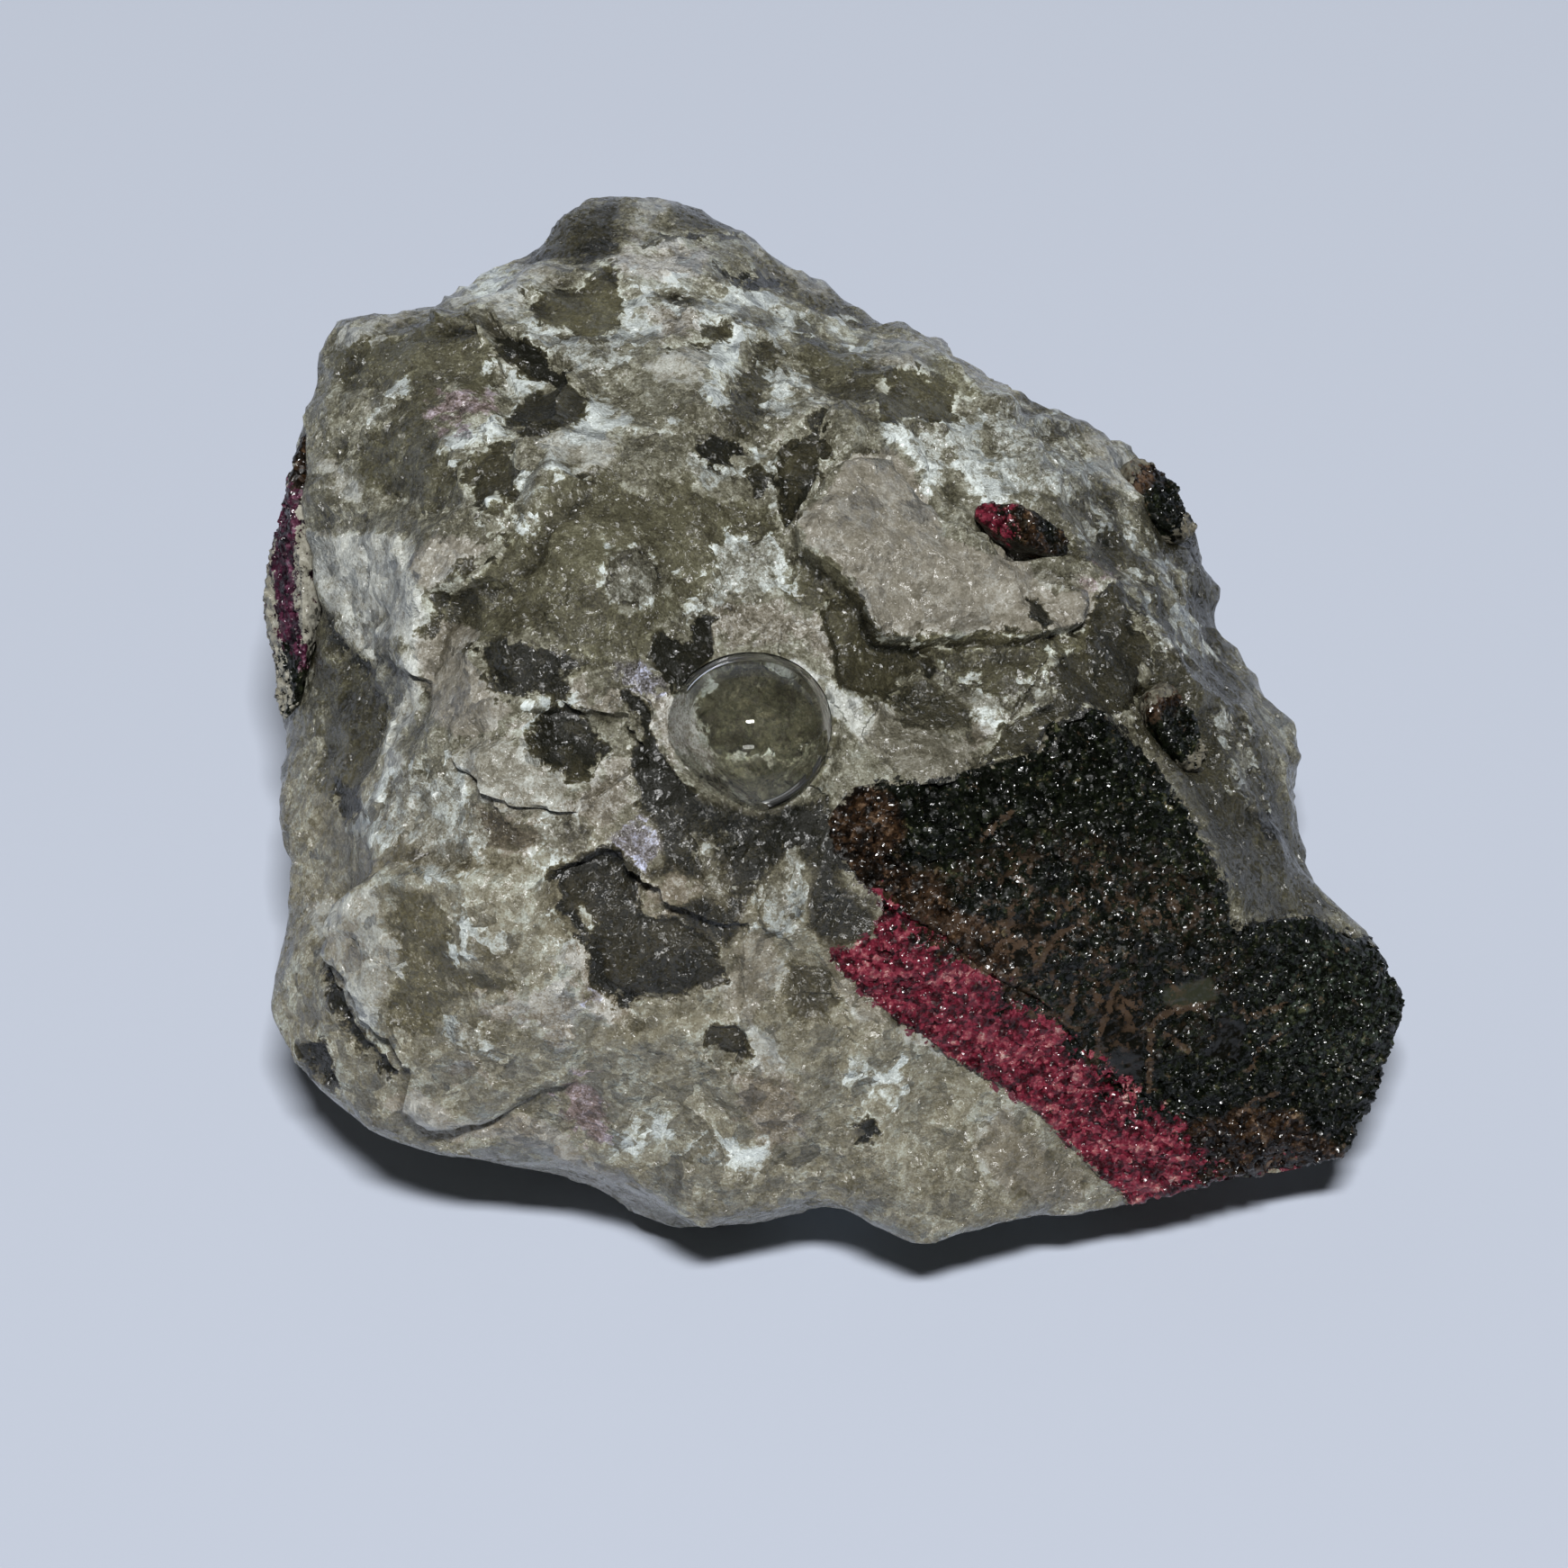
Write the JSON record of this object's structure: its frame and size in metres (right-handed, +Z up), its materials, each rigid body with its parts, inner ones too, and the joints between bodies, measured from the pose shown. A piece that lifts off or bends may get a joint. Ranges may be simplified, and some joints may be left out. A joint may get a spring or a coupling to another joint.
{
  "type": "raw lepidolite specimen in smoky quartz",
  "caption": "Broken hand-sized lump of smoky quartz with a pink lepidolite band, a mass of black crystals and a clear drop.",
  "frame": {"origin": "on the ground under the middle of the lump's box", "axes": "+X to the right along the longest side, +Y to the back, +Z up from the flat base"},
  "size_m": [0.0886, 0.083, 0.0502],
  "materials": {
    "smoky_quartz": "translucent smoky to milky quartz, broken and glittering",
    "black_crystal": "glossy granular black crystals",
    "pink_lepidolite": "granular magenta to pale pink, flecked with black",
    "dark_cluster": "glossy dark crystals with a brown to pink rim",
    "pink_cluster": "granular dark red and black crystals",
    "clear_drop": "clear, smooth and hard"
  },
  "bodies": {
    "root": {"quartz_matrix": "smoky_quartz", "black_crystals": "black_crystal", "pink_lepidolite": "pink_lepidolite", "upper_right_cluster": "dark_cluster", "right_edge_cluster": "dark_cluster", "saddle_cluster": "dark_cluster", "left_edge_cluster": "pink_cluster", "clear_drop": "clear_drop"}
  },
  "joints": []
}
